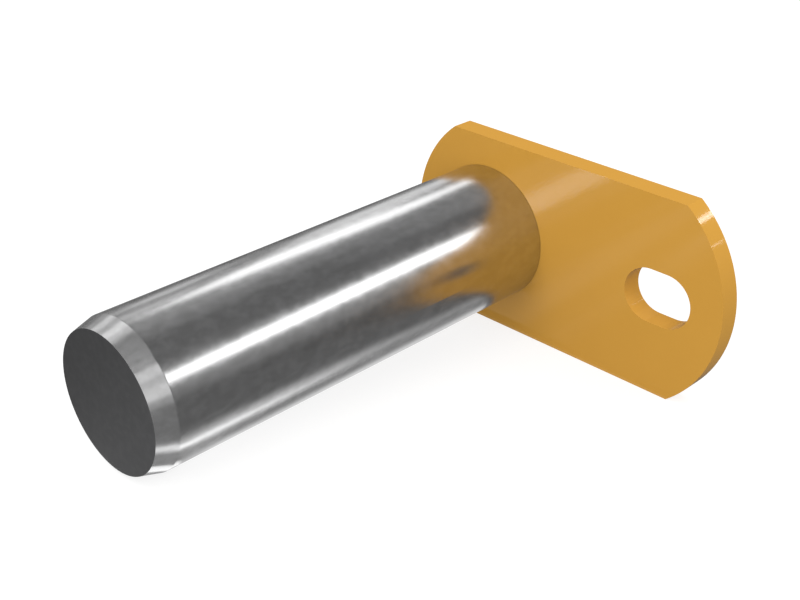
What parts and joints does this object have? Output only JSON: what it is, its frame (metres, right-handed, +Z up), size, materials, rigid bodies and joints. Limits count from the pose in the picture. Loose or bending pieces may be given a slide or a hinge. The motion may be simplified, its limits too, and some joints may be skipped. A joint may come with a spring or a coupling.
{
  "type": "linkage pin",
  "caption": "Straight round steel pin with a lead-in taper, welded into a round-ended flag plate with a slot for its retaining bolt.",
  "frame": {"origin": "on the pin's axis, in the flag plate's front face, which seats on the linkage", "axes": "-Y along the pin to its tip, +X towards the flag plate's long end with the slot, +Z up, across the flag plate"},
  "size_m": [0.134, 0.1735, 0.072],
  "materials": {
    "ground_steel": "ground and lightly polished, with faint lengthwise scuffs",
    "yellow_paint": "satin yellow ochre paint"
  },
  "bodies": {
    "root": {"pin": "ground_steel", "flag_plate": "yellow_paint", "weld_bead": "yellow_paint"}
  },
  "joints": []
}
